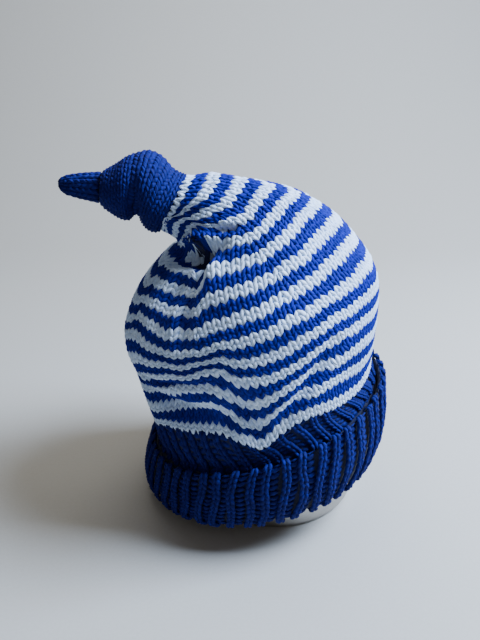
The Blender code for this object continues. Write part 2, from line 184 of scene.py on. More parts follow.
# How the cap is knitted
COLUMNS = 96
WEDGES = 8
STRIPE_ROWS = 4  # two white, two blue
FIRST_STRIPE = CROWN_TABLE[0].stripe
LAST_STRIPE = CROWN_TABLE[-1].stripe
LOWEST_WHITE = 0.75  # where the lowest white row starts, in stripes
RIB_BAND_FROM = 0.06  # just under the turned edge, in stripes
RIB_BAND_ROWS = 5

# The pocket's fold shows short rows, blue, white and blue, in the place of two rows
POCKET_ROWS = (38, 39)
POCKET_BEARINGS = (210, 238)
POCKET_PARTS = 3  # short rows in a row

# Creases of the cloth that are sharper than the folds of the solids
CREASES = table(
    Fold,
    ("under the lip of the pocket", 230, 10.6, 252, 9.8, 0.62, 0.32),
    ("lip over the pocket's right half", 234, 11.5, 257, 10.5, -0.48, 0.36),
    ("valley under the lip", 252, 9.9, 244, 8.3, 0.4, 0.34),
    ("foot of the valley", 243, 8.6, 242, 6.3, 0.42, 0.32),
    ("flatter top", 12, 13.2, 14, 9.1, 0.34, 0.72),
    ("edge of the lip", 259, 10.2, 257, 8.7, -0.2, 0.34),
    ("steep fall at the front", 257, 4.9, 267, 1.3, 0.28, 0.26),
    ("tuck at the left", 203, 4.9, 252, 4.6, 0.2, 0.16),
    ("second tuck at the left", 212, 4.3, 250, 4.1, 0.16, 0.14),
    ("crease at the right", 286, 2.2, 318, 4.6, 0.22, 0.22),
    ("pleat above the pocket", 262, 11.4, 278, 10.5, 0.26, 0.2),
    ("pleat at the left edge", 209, 9.0, 201, 6.6, 0.24, 0.2),
)

# Soft unevenness of the stretched cloth, and of its rows
SWELLS = ((3, 0.9, 0.4), (5, -1.3, 2.1), (8, 1.7, 4.4))  # waves round the cap, slant, start
SWELL_HEIGHT = 0.0005
ROW_SWELL = 0.045  # in stripes
ROW_SWELL_SLANT = 0.8
ROW_SWELL_WAVES = 3  # times the cloth's
WALE_LEAN = 3.2  # degrees that the columns turn for each stripe, to the left at the front

# Places where the knot bulges beyond the solid's lobes
KNOT_BULGES = table(
    Fold,
    ("underside of the right lobe", 150, 0.14, 222, 0.08, -0.5, 2.6),
    ("underside of the left lobe", 155, 0.74, 225, 0.66, -0.55, 2.3),
    ("notch under the knot", 150, 0.5, 205, 0.49, -0.55, 1.1),
)

# Where the rows ride up or sag on the skin, in stripes, at bearings from the right round the
# back. The columns after the bearing stand at DRIFT_STRIPES, counted from the brim.
Drift = namedtuple(
    "Drift", "name bearing below_1 above_1 at_2 at_3 at_4 at_6 at_7 at_9 below_11 at_11 above_12"
)
DRIFT_STRIPES = (0.75, 1.25, 2.0, 3.0, 4.0, 6.0, 7.0, 9.0, 10.3, 10.75, 12.25)
ROW_DRIFTS = table(
    Drift,
    ("right", 0, 0.1, 0.1, 0.05, 0.02, 0.02, 0.1, 0.15, 0.12, 0.0, 0.0, 0.0),
    ("back", 90, 0.1, 0.1, 0.1, 0.1, 0.05, 0.0, 0.0, 0.0, 0.0, 0.0, 0.0),
    ("back left", 150, 0.3, 0.3, 0.25, 0.3, 0.2, 0.1, 0.0, 0.0, 0.0, 0.1, 0.3),
    ("left", 195, 0.56, 0.44, 0.35, 0.2, 0.1, 0.1, -0.3, -0.2, 0.1, 0.25, 0.6),
    ("left pleat", 206, 0.84, 0.66, 0.5, 0.6, 0.5, 0.42, 0.18, 0.05, 0.0, 0.42, 0.7),
    ("left front", 215, 1.12, 0.88, 0.65, 1.0, 0.9, 0.3, 0.05, -0.05, -0.1, 0.6, 0.8),
    ("pocket", 232, 1.12, 0.88, 0.98, 1.45, 1.05, -0.05, -0.35, -0.22, -0.4, 1.0, 1.1),
    ("before the valley", 240, 1.12, 0.88, 1.18, 1.55, 1.08, -0.15, -0.44, -0.35, -0.7, 1.25, 1.2),
    ("valley", 246, 1.07, 0.87, 1.36, 1.5, 1.15, -0.12, -0.45, -0.6, -0.8, 1.42, 1.25),
    ("lip", 250, 1.05, 0.85, 1.38, 1.45, 1.18, -0.12, -0.44, -0.62, 0.25, 1.42, 1.2),
    ("behind the lip", 254, 0.88, 0.72, 0.95, 1.25, 1.17, -0.1, -0.38, -0.02, 0.62, 1.35, 1.1),
    ("before the fall", 258, 0.63, 0.53, 0.48, 0.8, 1.05, -0.08, -0.33, 0.04, 0.52, 1.05, 0.9),
    ("steep fall", 263, 0.3, 0.3, -0.1, -0.08, 0.55, -0.1, -0.3, 0.0, 0.35, 0.5, 0.6),
    ("lowest cusp", 269, -0.08, -0.08, -0.33, 0.0, 0.35, -0.05, -0.25, -0.08, 0.12, 0.08, 0.45),
    ("front", 279, 0.4, 0.4, 0.5, 0.3, 0.1, 0.0, -0.15, -0.18, -0.22, -0.15, 0.36),
    ("front right", 290, 0.6, 0.6, 0.48, 0.6, 0.35, 0.1, -0.08, -0.22, -0.3, -0.25, 0.02),
    ("slanting fold", 306, 0.26, 0.26, 0.48, 0.32, 0.5, 0.14, 0.08, 0.0, -0.04, -0.08, -0.1),
    ("near the right", 322, -0.02, -0.02, -0.04, 0.22, 0.32, 0.2, 0.26, 0.16, 0.08, 0.04, -0.05),
    ("right edge", 342, 0.0, 0.0, -0.05, -0.06, -0.02, 0.15, 0.2, 0.2, 0.08, 0.05, 0.0),
    ("right again", 360, 0.1, 0.1, 0.05, 0.02, 0.02, 0.1, 0.15, 0.12, 0.0, 0.0, 0.0),
)


def smooth_between(rows, position, key):
    """Every number column of a table at these positions, on a smooth curve through its rows."""
    position = np.asarray(position, float)
    places = np.array([getattr(row, key) for row in rows], float)
    last = len(places) - 1
    low = np.clip(np.searchsorted(places, position, side="right") - 1, 0, last - 1)
    before, after = np.maximum(low - 1, 0), np.minimum(low + 2, last)
    span = places[low + 1] - places[low]
    t = (position - places[low]) / span
    result = {}
    for column in rows[0]._fields:
        if column == "name":
            continue
        values = np.array([getattr(row, column) for row in rows], float)
        start, end = values[low], values[low + 1]
        slope_in = (end - values[before]) / (places[low + 1] - places[before]) * span
        slope_out = (values[after] - start) / (places[after] - places[low]) * span
        result[column] = (
            start * (2 * t**3 - 3 * t**2 + 1)
            + slope_in * (t**3 - 2 * t**2 + t)
            + end * (3 * t**2 - 2 * t**3)
            + slope_out * (t**3 - t**2)
        )
    return result


def on_ring(ring, bearing, out=0.0):
    """The points of rings at bearings in radians, moved out from the rings' centres."""
    across = (ring.half_width + out) * np.cos(bearing)
    tilt = np.radians(ring.tilt)
    y = (ring.half_depth + out) * np.sin(bearing)
    x, z = ring.x + across * np.cos(tilt), ring.z + across * np.sin(tilt)
    return np.stack(np.broadcast_arrays(x, y, z), axis=-1)


def moved_ring(ring, distance):
    """The same rings further along their own axis, towards the knot."""
    tilt = np.radians(ring.tilt)
    return ring._replace(x=ring.x - np.sin(tilt) * distance, z=ring.z + np.cos(tilt) * distance)


def brim_x():
    """Where the brim's middle lies. The tin has room beside it and beside the crown."""
    edge = BRIM_ROWS[-1]
    widest = max(CROWN_TABLE, key=lambda row: row.width)
    crown_half = CROWN_WIDTH / 2 * math.cos(math.radians(widest.tilt))
    brim_half = edge.across * BRIM_WIDTH / 2 * math.cos(math.radians(edge.tilt))
    crown_right = crown_half - widest.lean * CROWN_LEAN
    brim_right = brim_half - edge.lean * BRIM_WIDTH - RIB_RELIEF
    foot = BRIM_FOOT * math.sin(math.radians(edge.tilt))
    return TIN_RADIUS + SIDE_ROOM + KNIT_WALL + foot - min(crown_right, brim_right)


def brim_floor():
    low = BRIM_ROWS[0].across * BRIM_WIDTH / 2 + KNIT_WALL + BRIM_PLIES_GAP
    return FLOOR_ROOM + low * math.sin(math.radians(BRIM_ROWS[0].tilt)) + KNIT_WALL


def brim_ring(up):
    """The rings of the brim's inner ply at these shares of the brim's height."""
    share = np.clip(up, 0.0, 1.0)
    row = smooth_between(BRIM_ROWS, share, "up")
    ring = Ring(
        brim_x() - row["lean"] * BRIM_WIDTH,
        brim_floor() + share * BRIM_HEIGHT,
        row["across"] * BRIM_WIDTH / 2,
        row["across"] * BRIM_DEPTH / 2,
        row["tilt"],
    )
    return moved_ring(ring, (up - share) * BRIM_HEIGHT)


def crown_ring(stripe):
    """The crown's rings at these stripes. They start on the brim's inner ply."""
    row = smooth_between(CROWN_TABLE, stripe, "stripe")
    edge = brim_ring(np.float64(1.0))
    foot = moved_ring(edge, BRIM_FOOT)
    half_width = (TUBE_WIDTH + row["width"] * (CROWN_WIDTH - TUBE_WIDTH)) / 2
    half_depth = (TUBE_DEPTH + row["depth"] * (CROWN_DEPTH - TUBE_DEPTH)) / 2
    return Ring(
        foot.x - row["lean"] * CROWN_LEAN,
        foot.z + row["up"] * CROWN_RISE,
        half_width + row["brim"] * (edge.half_width - half_width),
        half_depth + row["brim"] * (edge.half_depth - half_depth),
        row["tilt"],
    )


def cap_ring(stripe):
    """The rings of the whole bag: the brim's inner ply, then the crown, then straight on."""
    inside = np.clip(stripe, FIRST_STRIPE, LAST_STRIPE)
    ring = crown_ring(inside)
    below = np.minimum(stripe - FIRST_STRIPE, 0.0) * STRIPE_PITCH
    low = brim_ring(1.0 + (BRIM_FOOT + below) / BRIM_HEIGHT)
    past = np.maximum(stripe - LAST_STRIPE, 0.0) * STRIPE_PITCH
    high = moved_ring(ring, past)
    return Ring(*(np.where(stripe < FIRST_STRIPE, a, b) for a, b in zip(low, high)))


def fold_depth(folds, bearing, row, half_width, pitch, deepest, widest_reach):
    """How far the cloth sinks at these places: each fold is a soft valley along its line."""
    total = np.zeros(np.broadcast(bearing, row).shape)
    for fold in folds:
        turn = (np.degrees(bearing) - fold.bearing + 180) % 360 - 180
        here_x, here_y = np.radians(turn) * half_width, (row - fold.stripe) * pitch
        way_x = math.radians(fold.to_bearing - fold.bearing) * half_width
        way_y = (fold.to_stripe - fold.stripe) * pitch
        share = np.clip((here_x * way_x + here_y * way_y) / (way_x**2 + way_y**2), 0.0, 1.0)
        off = np.hypot(here_x - share * way_x, here_y - share * way_y)
        reach = fold.reach * widest_reach
        along = ENDS_DEPTH + (1 - ENDS_DEPTH) * np.sin(np.pi * share)
        sunk = fold.depth * deepest * along * (1 + np.cos(np.pi * off / reach)) / 2
        total += np.where(off < reach, sunk, 0.0)
    return total


# Steps for the slope of a skin, round it in radians and along it in its own measure
TURN_STEP = 0.01
PLAIN_STEP = 0.02
STRIPE_STEP = 0.03
DROP_STEP = 0.0004
SHARE_STEP = 0.01


def normals_of(surface, row, bearing, row_step):
    """Unit normals of a surface, outwards, from points a small step apart."""
    along = surface(row + row_step, bearing) - surface(row - row_step, bearing)
    around = surface(row, bearing + TURN_STEP) - surface(row, bearing - TURN_STEP)
    outward = np.cross(around, along)
    return outward / np.maximum(np.linalg.norm(outward, axis=-1, keepdims=True), 1e-12)


def swell(stripe, bearing):
    """A soft wave over the cap, about -1 to 1."""
    waves = [np.sin(count * bearing + slant * stripe + start) for count, slant, start in SWELLS]
    return sum(waves) / 2


def sunk_skin(ring_at, row, bearing, sunk, slope_row):
    """Points on plain rings, sunk square to the slope that the rings have at slope_row."""

    def plain(place, turn):
        return on_ring(ring_at(place), turn)

    outward = normals_of(plain, slope_row, bearing, PLAIN_STEP)
    return plain(row, bearing) - outward * sunk[..., None]


def cap_skin(stripe, bearing):
    """The bag's outer skin with its folds, at these stripes and bearings."""
    half_width = cap_ring(stripe).half_width
    above_brim = np.clip(stripe - FIRST_STRIPE, 0.0, 1.0)
    folds = CROWN_FOLDS + CREASES
    sunk = above_brim * fold_depth(
        folds, bearing, stripe, half_width, STRIPE_PITCH, FOLD_DEPTH, FOLD_REACH
    )
    sunk += above_brim * SWELL_HEIGHT * swell(stripe, bearing)
    return sunk_skin(cap_ring, stripe, bearing, sunk, stripe)


def lobe_ring(rows, start, length, height, depth, along):
    row = smooth_between(rows, along, "along")
    return Ring(
        start.x - along * length,
        start.z + row["up"] * length,
        row["height"] * height / 2,
        row["depth"] * depth / 2,
        row["tilt"],
    )


def knot_ring(along):
    start = moved_ring(crown_ring(np.float64(LAST_STRIPE)), COLLAR + CLEARANCE)
    share = np.clip(along, 0.0, 1.0)
    return lobe_ring(KNOT_TABLE, start, KNOT_LENGTH, KNOT_HEIGHT, KNOT_DEPTH, share)


def knot_skin(along, bearing):
    half = knot_ring(along).half_width
    sunk = fold_depth(
        KNOT_CREASES + KNOT_BULGES, bearing, along, half, KNOT_LENGTH, CREASE_DEPTH, CREASE_REACH
    )
    return sunk_skin(knot_ring, along, bearing, sunk, np.clip(along, *KNOT_SLOPES))


def tail_skin(along, bearing):
    end = knot_ring(np.float64(1.0))
    start = end._replace(x=end.x - CLEARANCE)
    share = np.clip(along, 0.0, 1.0)
    ring = lobe_ring(TAIL_TABLE, start, TAIL_LENGTH, TAIL_HEIGHT, TAIL_DEPTH, share)
    deep = np.maximum(0.0, np.abs(np.sin(bearing)) - GROOVE_EDGE) / (1.0 - GROOVE_EDGE)
    return on_ring(ring, bearing, -TAIL_GROOVE * deep)


# Yarn, in metres on the cap. A stitch is two legs that make a V.
YARN_HALF = 0.0010
YARN_GIRTH = TURN * YARN_HALF
PLY_PITCH = 0.0026  # a ply passes every 2.6 mm, so two-ply yarn turns once in 5.2 mm
CAP_GIRTH = 0.400
STITCH_WIDTH = CAP_GIRTH / COLUMNS
STITCH_ROW = 0.0030
LEG_YARN = 1.6 * STITCH_ROW  # yarn in a leg
RIB_LEG_YARN = 1.5 * STITCH_ROW
YARN_UV = "yarn"
TONE = "tone"
CLOTH_DEPTH = 0.0010  # the cloth behind the yarn lies this far under the skin
CLOTH_WALL = 0.0016
RIB_CLOTH_DEPTH = 0.0020  # deeper behind the ribs

Stitch = namedtuple("Stitch", "spread splay half_width reach height dive")
KNIT = Stitch(0.25, 0.205, 0.262, 1.02, -0.0005, 0.0008)
RIB_KNIT = Stitch(0.124, 0.048, 0.138, 0.84, 0.0, 0.0006)
KNOT_KNIT = Stitch(0.25, 0.175, 0.265, 0.98, -0.0003, 0.0005)
UPPER_DIVE = 0.35  # how much more a leg dives at its upper end
Bar = namedtuple("Bar", "reach half_width up bend thick depth dive")
PURL = Bar(0.32, 0.46, 0.1, 0.2, 0.8, 0.0015, 0.0004)  # in ribs, rows, shares and metres

# How much stitches differ at most: in shares, columns, rows, shares and metres
Uneven = namedtuple("Uneven", "splay across along thick height")
LEG_UNEVEN = Uneven(0.12, 0.025, 0.05, 0.07, 0.00008)
BAR_UNEVEN = Uneven(0.0, 0.02, 0.05, 0.0, 0.0001)

RIB_ROW = 0.00305
RIB_SWAY = 0.10  # how far a rib wanders, in ribs
RIB_WAVE = 0.6  # radians of its wave a row
RIB_SET = 0.35  # the same sway in all rows of a rib
RIB_SHIFT = 0.22  # how far a rib's stitches lie above or below its neighbour's, in rows
BAND_LEAN = 0.16  # how far the ribs above the turned edge slant, in ribs a row
BAND_DEPTH = 0.0003
BAND_LIFT = 0.0007  # the bars there are less deep
EDGE_ROWS = 0.75  # rows that lie over the turned edge
KNOT_YARN_DEPTH = 0.0007

BRIM_EDGE_RADIUS = KNIT_WALL / 2
EDGE_FLARE = 0.0014  # the turned edge stands off the crown
BRIM_TOP = 1 - BRIM_EDGE_RADIUS / BRIM_HEIGHT
BRIM_STRAIGHT = (BRIM_TOP - STRAIGHT_FROM) * BRIM_HEIGHT
BRIM_OUTER = BRIM_PLIES_GAP + KNIT_WALL
BRIM_DEEP = STRAIGHT_FROM * BRIM_HEIGHT + KNIT_WALL
BRIM_WIDE = (BRIM_OUTER + KNIT_WALL) / 2
BRIM_ARC = math.pi * math.sqrt((BRIM_DEEP**2 + BRIM_WIDE**2) / 2)
BRIM_INSIDE = (1.0 - STRAIGHT_FROM) * BRIM_HEIGHT + BRIM_FOOT
BRIM_CLOTH_INSIDE = 0.7  # how much of the inner ply has cloth behind its yarn

# The knot and the tail. Places along them are shares of their length.
KNOT_COLUMNS = 11
KNOT_ROW = 0.0027
KNOT_SLANT = 0.16
KNOT_SLANT_END = 0.6
KNOT_ENDS = (0.005, 0.995)
KNOT_SLOPES = (0.03, 0.97)
TAIL_COLUMNS = 8
TAIL_ROWS = 7
TAIL_END = 0.99

# Round and along: a length of yarn, a purl bar and the cloths
LEG_GRID = (6, 6)
BAR_GRID = (6, 4)
CROWN_GRID = (144, 120)
BRIM_GRID = (144, 60)
KNOT_GRID = (60, 40)
TAIL_GRID = (40, 20)
PLUMP = 0.95  # below 1, a length of yarn is thicker towards its ends
POLE = 0.999  # from here on it ends
MERGE_DISTANCE = 0.000002

Template = namedtuple("Template", "corners loops starts uvs")


def yarn_template(sides, rings):
    """One short closed length of yarn from -1 to 1 along Z, as arrays to be laid many times."""
    bm = bmesh.new()
    bmesh.ops.create_uvsphere(bm, u_segments=sides, v_segments=rings, radius=1.0)
    for corner in bm.verts:
        thin = math.hypot(corner.co.x, corner.co.y)
        if abs(corner.co.z) < POLE:
            plump = thin**PLUMP / thin
            corner.co.x *= plump
            corner.co.y *= plump
    bm.verts.index_update()
    loops, starts, uvs = [], [], []
    for face in bm.faces:
        starts.append(len(loops))
        turns = [math.atan2(v.co.x, -v.co.y) / TURN for v in face.verts]
        known = [t for t, v in zip(turns, face.verts) if abs(v.co.z) < POLE]
        if max(known) - min(known) > 0.5:
            known = [t + 1 if t < 0 else t for t in known]
        middle = sum(known) / len(known)
        for turn, vert in zip(turns, face.verts):
            if abs(vert.co.z) >= POLE:
                turn = middle
            loops.append(vert.index)
            uvs.append((turn + round(middle - turn), (vert.co.z + 1) / 2))
    corners = np.array([v.co for v in bm.verts], float)
    bm.free()
    return Template(corners, np.array(loops), np.array(starts), np.array(uvs, float))


def put(target, key, parts, kind):
    """Fills one field of a mesh's vertices, loops or faces."""
    target.foreach_set(key, np.concatenate(parts).astype(kind).reshape(-1))


def joined_mesh(name, batches, seed):
    """One mesh of many copies of yarn. A batch is a template, its copies' corners in metres
    as (copies, corners, 3), and the length of yarn in a copy."""
    random = np.random.default_rng(seed)
    mesh = bpy.data.meshes.new(name)
    points, loops, starts, uvs, tones = [], [], [], [], []
    point_count = loop_count = 0
    for template, corners, length in batches:
        copies, count, _ = corners.shape
        order = np.arange(copies)[:, None]
        tone = random.uniform(0.0, 1.0, copies)
        points.append(corners.reshape(-1, 3))
        loops.append((template.loops + order * count + point_count).reshape(-1))
        starts.append((template.starts + order * len(template.loops) + loop_count).reshape(-1))
        place = np.empty((copies, len(template.loops), 2))
        place[:, :, 0] = template.uvs[:, 0] * YARN_GIRTH
        place[:, :, 1] = template.uvs[:, 1] * length + tone[:, None]
        uvs.append(place.reshape(-1, 2))
        tones.append(np.repeat(tone, count))
        point_count += copies * count
        loop_count += copies * len(template.loops)
    mesh.vertices.add(point_count)
    put(mesh.vertices, "co", points, np.float32)
    mesh.loops.add(loop_count)
    put(mesh.loops, "vertex_index", loops, np.int32)
    mesh.polygons.add(sum(map(len, starts)))
    put(mesh.polygons, "loop_start", starts, np.int32)
    mesh.update(calc_edges=True)
    put(mesh.uv_layers.new(name=YARN_UV).data, "uv", uvs, np.float32)
    put(mesh.attributes.new(TONE, "FLOAT", "POINT").data, "value", tones, np.float32)
    mesh.shade_smooth()
    return mesh


def linked(name, data):
    """A new object in the scene."""
    made = bpy.data.objects.new(name, data)
    bpy.context.scene.collection.objects.link(made)
    return made


def new_piece(name, mesh, material, nodes=()):
    piece = linked(name, mesh)
    mesh.materials.append(material)
    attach(piece, "root")
    if nodes:
        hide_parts(*nodes)
    return piece


def rise_of(stripe, bearing):
    """How far a row rides up on the skin, from the drifts at its stripe and bearing."""
    near = smooth_between(ROW_DRIFTS, np.degrees(bearing) % 360, "bearing")
    fades = np.clip(LAST_STRIPE - stripe, 0.0, 1.0)
    waves = ROW_SWELL * swell(stripe * ROW_SWELL_SLANT, bearing * ROW_SWELL_WAVES)
    rise = waves * np.clip(stripe - 1.0, 0.0, 1.0) * fades
    for i, column in enumerate(Drift._fields[2:]):
        weights = [1.0 if k == i else 0.0 for k in range(len(DRIFT_STRIPES))]
        rise += near[column] * np.interp(stripe, DRIFT_STRIPES, weights) * fades
    return rise


def row_place(row, bearing):
    """Where a knit row lies on the skin, in stripes. Row 0 is the lowest white one, and the
    rows below it are the rib band that shows above the turned edge."""
    stripe = LOWEST_WHITE + row / STRIPE_ROWS
    low = LOWEST_WHITE + rise_of(LOWEST_WHITE, bearing)
    band = RIB_BAND_FROM + (low - RIB_BAND_FROM) * (1.0 + row / RIB_BAND_ROWS)
    return np.where(row < 0, band, stripe + rise_of(stripe, bearing))


def ellipse_girth(ring):
    a, b = ring.half_width, ring.half_depth
    return math.pi * (3 * (a + b) - np.sqrt((3 * a + b) * (a + 3 * b)))


CROWN_ROWS = math.ceil((LAST_STRIPE - LOWEST_WHITE) * STRIPE_ROWS)
LOWER_ROWS = CROWN_ROWS // 3  # in pieces of their own
ROW_GRID = np.linspace(-1.0, CROWN_ROWS + 1.0, 400)
GIRTHS = ellipse_girth(cap_ring(LOWEST_WHITE + ROW_GRID / STRIPE_ROWS))
BELOW_WIDEST = ROW_GRID < ROW_GRID[GIRTHS.argmax()]
WEDGE_COLUMNS = np.where(BELOW_WIDEST, 1.0, GIRTHS / GIRTHS.max()) * COLUMNS / WEDGES


def wedge_columns(row):
    """The columns in each of the crown's wedges at a row. They grow fewer towards the tube."""
    return np.interp(row, ROW_GRID, WEDGE_COLUMNS)


def column_edges(index, count, row):
    """The edges of a wedge's columns as shares of the wedge. The last one ends at its seam."""
    return np.where(index >= count, 1.0, np.minimum(index / wedge_columns(row), 1.0))


def draws_of(random, copies, kinds):
    """Random numbers from -1 to 1 times the unevenness, one column of every kind."""
    return (random.uniform(-1.0, 1.0, (copies, kinds)) * settings().unevenness).T[..., None]


def columns_of(found, legs):
    """The columns of a list of stitches, repeated for each leg."""
    return np.tile(np.array(found, float), (legs, 1)).T[..., None]


def legs_of(template, stitch, random, stitches):
    """Across, along and out for both legs' corners of every stitch, with a little unevenness."""
    x, y, z = template.corners.T
    splay, shift, rise, thick = draws_of(random, stitches, 4)
    legs = []
    for side in (-1, 1):
        across = side * (stitch.spread + stitch.splay * z * (1 + splay * LEG_UNEVEN.splay))
        across = across + x * stitch.half_width + shift * LEG_UNEVEN.across
        along = z * stitch.reach + rise * LEG_UNEVEN.along
        out = stitch.height + y * YARN_HALF * (1 + thick * LEG_UNEVEN.thick)
        out = out - stitch.dive * z**2 * (1 + UPPER_DIVE * z) + shift * LEG_UNEVEN.height
        legs.append((across, along, out))
    return [np.concatenate(pair) for pair in zip(*legs)]


def bars_of(template, random, bars):
    """Across, along and out for the corners of the purl bars in the valleys."""
    x, y, z = template.corners.T
    shift, rise, height = draws_of(random, bars, 3)
    across = z * PURL.reach + shift * BAR_UNEVEN.across
    along = x * PURL.half_width + PURL.up - PURL.bend * z**2 + rise * BAR_UNEVEN.along
    out = y * YARN_HALF * PURL.thick - PURL.depth - PURL.dive * z**2 + height * BAR_UNEVEN.height
    return across, along, out


def over(skin, row, bearing, out, row_step, turned=1.0):
    """Points over a skin at a height. turned is -1 where the rows of the skin run down."""
    normal = normals_of(skin, row, bearing, row_step) * turned
    return skin(row, bearing) + normal * out[..., None]


def over_cap(stripe, bearing, out):
    return over(cap_skin, stripe, bearing, out, STRIPE_STEP)


def over_brim(drop, bearing, out):
    return over(brim_skin, drop, bearing, out, DROP_STEP, -1.0)


def row_parts(row, turn):
    """Start, height and whether it is white, for a row or the short rows in its place."""
    bearing = turn * 360 / WEDGES - WALE_LEAN * row / STRIPE_ROWS
    if row not in POCKET_ROWS or not POCKET_BEARINGS[0] < bearing < POCKET_BEARINGS[1]:
        return [(row, 1.0, is_white(row))]
    height = 1 / POCKET_PARTS
    starts = [row + part * height for part in range(POCKET_PARTS)]
    return [(start, height, abs(start + height / 2 - POCKET_ROWS[1]) < height) for start in starts]


def crown_yarn(template, rows, white, seed):
    """The white or the blue stitches in these rows of the crown."""
    found = []
    for row in rows:
        count = max(1, int(wedge_columns(row + 0.5) + 0.5))
        for wedge, index in np.ndindex(WEDGES, count):
            parts = row_parts(row, wedge + (index + 0.5) / count)
            found += [(*part[:2], wedge, index, count) for part in parts if part[2] == white]
    random = np.random.default_rng(seed)
    across, along, out = legs_of(template, KNIT, random, len(found))
    row, height, wedge, column, count = columns_of(found, 2)
    knit_row = row + (0.5 + along) * height
    left = column_edges(column, count, knit_row)
    right = column_edges(column + 1, count, knit_row)
    share = left + (right - left) * (0.5 + across)
    lean = math.radians(WALE_LEAN) * np.maximum(knit_row, 0.0) / STRIPE_ROWS
    bearing = (wedge + share) * TURN / WEDGES - lean
    points = over_cap(row_place(knit_row, bearing), bearing, out)
    return template, points, LEG_YARN


def is_white(row):
    return row % STRIPE_ROWS < STRIPE_ROWS / 2


def rib_yarn(leg, bar, place, rows, seed, lean, lift):
    """Knit columns and the purl bars between them. place gives points for rows and bearings."""
    random = np.random.default_rng(seed)
    ribs = COLUMNS // 2
    pitch = TURN / ribs
    phase, shift = np.random.default_rng(ribs).uniform(-math.pi, math.pi, (2, ribs))
    grid = [(row, rib) for row in rows for rib in range(ribs)]

    def laid(row, rib, across, out):
        which = rib.astype(int)
        sway = RIB_SWAY * (np.sin(row * RIB_WAVE + phase[which]) + RIB_SET * shift[which])
        moved = row + RIB_SHIFT * shift[which] / math.pi
        return place(moved, (rib + across + (sway - lean * row)) * pitch, out)

    across, along, out = legs_of(leg, RIB_KNIT, random, len(grid))
    row, rib = columns_of(grid, 2)
    knit = laid(row + 0.5 + along, rib, across, out)
    across, along, out = bars_of(bar, random, len(grid))
    row, rib = columns_of(grid, 1)
    purl = laid(row + 0.5 + along, rib, across + 0.5, out + lift)
    return [(leg, knit, RIB_LEG_YARN), (bar, purl, STITCH_WIDTH)]


def brim_skin(drop, bearing):
    """The outside of the folded band: over the turned edge, down the outer ply, round the fold
    and up the side that faces the tin. drop is the way along it in metres from the edge."""
    roll = np.clip(-drop / BRIM_EDGE_RADIUS, 0.0, math.pi)
    turn = np.clip((drop - BRIM_STRAIGHT) / BRIM_ARC, 0.0, 1.0) * math.pi
    low = np.maximum(BRIM_STRAIGHT - np.maximum(drop, 0.0), 0.0)
    high = np.maximum(drop - BRIM_STRAIGHT - BRIM_ARC, 0.0)
    rise = low + high - BRIM_DEEP * np.sin(turn) + BRIM_EDGE_RADIUS * np.sin(roll)
    out = BRIM_OUTER - BRIM_WIDE * (1 - np.cos(turn)) - BRIM_EDGE_RADIUS * (1 - np.cos(roll))
    out = out + EDGE_FLARE * np.clip(1 - np.maximum(drop, 0.0) / (BRIM_HEIGHT / 2), 0.0, 1.0) ** 2
    return on_ring(brim_ring(STRAIGHT_FROM + rise / BRIM_HEIGHT), bearing, out)


def knot_place(column, turn, out):
    """Points over the knot. The columns run round it, and slant on its right lobe."""
    along = column / KNOT_COLUMNS
    slant = KNOT_SLANT * np.clip(1 - along / KNOT_SLANT_END, 0.0, 1.0) * np.sin(along * math.pi)
    shifted = np.clip(along + slant * np.cos(turn - math.pi), *KNOT_ENDS)
    return over(knot_skin, shifted, turn, out - KNOT_YARN_DEPTH, SHARE_STEP)


def knot_yarn(template, seed):
    """Stitches of the knot, in columns round it. A column has as many rows as fit."""
    random = np.random.default_rng(seed)
    found = []
    for column in range(KNOT_COLUMNS):
        ring = knot_ring((column + 0.5) / KNOT_COLUMNS)
        rows = int(ellipse_girth(ring) / KNOT_ROW + 0.5)
        found += [(column, row, rows) for row in range(rows)]
    across, along, out = legs_of(template, KNOT_KNIT, random, len(found))
    column, row, rows = columns_of(found, 2)
    turn = (row + 0.5 + along) / rows * TURN
    return template, knot_place(column + 0.5 + across, turn, out), LEG_YARN


def tail_yarn(template, seed):
    random = np.random.default_rng(seed)
    grid = [(row, column) for row in range(TAIL_ROWS) for column in range(TAIL_COLUMNS)]
    across, along, out = legs_of(template, KNOT_KNIT, random, len(grid))
    row, column = columns_of(grid, 2)
    place = np.clip((row + 0.5 + along) / TAIL_ROWS, 0.0, TAIL_END)
    bearing = (column + 0.5 + across) / TAIL_COLUMNS * TURN
    points = over(tail_skin, place, bearing, out - KNOT_YARN_DEPTH, SHARE_STEP)
    return template, points, LEG_YARN


def finished_mesh(bm, name):
    """A smooth mesh of these faces, with their normals outwards."""
    bmesh.ops.recalc_face_normals(bm, faces=bm.faces)
    mesh = bpy.data.meshes.new(name)
    bm.to_mesh(mesh)
    bm.free()
    mesh.shade_smooth()
    return mesh


def grid_mesh(name, around, along, place):
    """A grid whose points place gives for shares along and turns round, closed by merging."""
    bm = bmesh.new()
    layer = bm.loops.layers.uv.new(YARN_UV)
    bmesh.ops.create_grid(bm, x_segments=around, y_segments=along, size=0.5)
    shares = {v: (v.co.x + 0.5, v.co.y + 0.5) for v in bm.verts}
    round_share, along_share = np.array(list(shares.values()), float).T
    points, shown = place(along_share, round_share * TURN)
    spots = dict(zip(shares, zip(round_share, shown)))
    for vert, point in zip(shares, points):
        vert.co = point
    for face in bm.faces:
        for loop in face.loops:
            loop[layer].uv = spots[loop.vert]
    bmesh.ops.remove_doubles(bm, verts=bm.verts, dist=MERGE_DISTANCE)
    bmesh.ops.holes_fill(bm, edges=bm.edges, sides=0)
    return finished_mesh(bm, name)


def cloth_shell(name, around, along, place, outside=CLOTH_DEPTH, inside=CLOTH_DEPTH + CLOTH_WALL):
    """A thin closed cloth: the grid goes up its outside and comes back down its inside."""

    def both_sides(share, turn):
        up = 1 - np.abs(2 * share - 1)
        depth = np.where((share > 0.5) & (share < 1.0), inside, outside)
        return place(up, turn, -depth), up

    return grid_mesh(name, around, 2 * along, both_sides)


